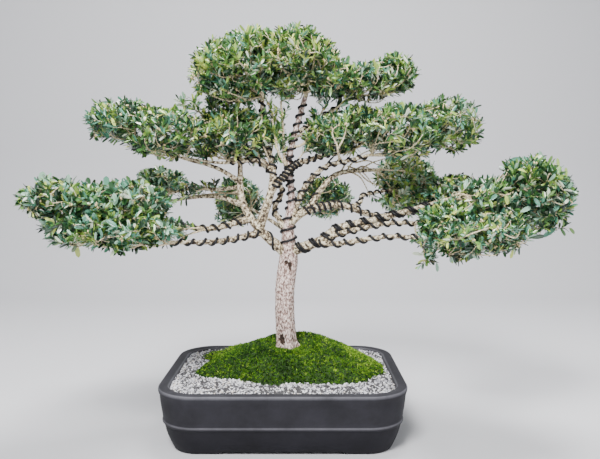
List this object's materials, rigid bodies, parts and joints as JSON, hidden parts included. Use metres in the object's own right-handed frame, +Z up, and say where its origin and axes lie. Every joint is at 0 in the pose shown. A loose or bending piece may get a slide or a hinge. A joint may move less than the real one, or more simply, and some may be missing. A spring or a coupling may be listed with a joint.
{
  "type": "potted boxwood bonsai",
  "caption": "Trained small-leaved evergreen tree with spreading foliage pads on wired boughs, growing from a mossy mound in a low rounded-rectangular clay pot.",
  "frame": {"origin": "under the middle of the pot, on the surface that the pot's feet stand on", "axes": "+Z up, +X to the right along the pot's long side, +Y to the back"},
  "size_m": [0.8192, 0.3938, 0.6746],
  "materials": {
    "dark_clay": "matte unglazed clay, nearly black",
    "soil": "packed soil, unseen",
    "gravel": "pale grey-white stone chips",
    "moss": "matte green moss",
    "bark": "pale tan, finely fissured bark",
    "foliage": "small green leaves on pale twigs"
  },
  "bodies": {
    "root": {"pot": "dark_clay", "soil": "soil", "gravel": "gravel", "moss_mound": "moss", "trunk": "bark", "left_bough": "bark", "right_bough": "bark", "left_inner_bough": "bark", "right_fork": "bark", "twisting_bough": "bark", "upper_left_bough": "bark", "lower_left_bough": "bark", "lowest_left_bough": "bark", "back_left_bough": "bark", "back_left_side_bough": "bark", "bare_right_bough": "bark", "upper_right_bough": "bark", "knotted_right_bough": "bark", "middle_right_bough": "bark", "lowest_right_bough": "bark", "crooked_right_bough": "bark", "crown_side_bough": "bark", "rear_left_bough": "bark", "rear_right_bough": "bark", "crown_left": "foliage", "crown_middle": "foliage", "crown_right": "foliage", "upper_left_inner": "foliage", "upper_left_outer": "foliage", "upper_right_inner": "foliage", "upper_right_outer": "foliage", "lower_left_upper": "foliage", "lower_left_lower": "foliage", "back_left_lower": "foliage", "back_left_upper": "foliage", "rear_left": "foliage", "rear_right": "foliage", "back_right_upper": "foliage", "back_right_lower": "foliage", "lower_right_end": "foliage", "lower_right_middle": "foliage", "lower_right_inner": "foliage", "lower_right_low": "foliage"}
  },
  "joints": []
}
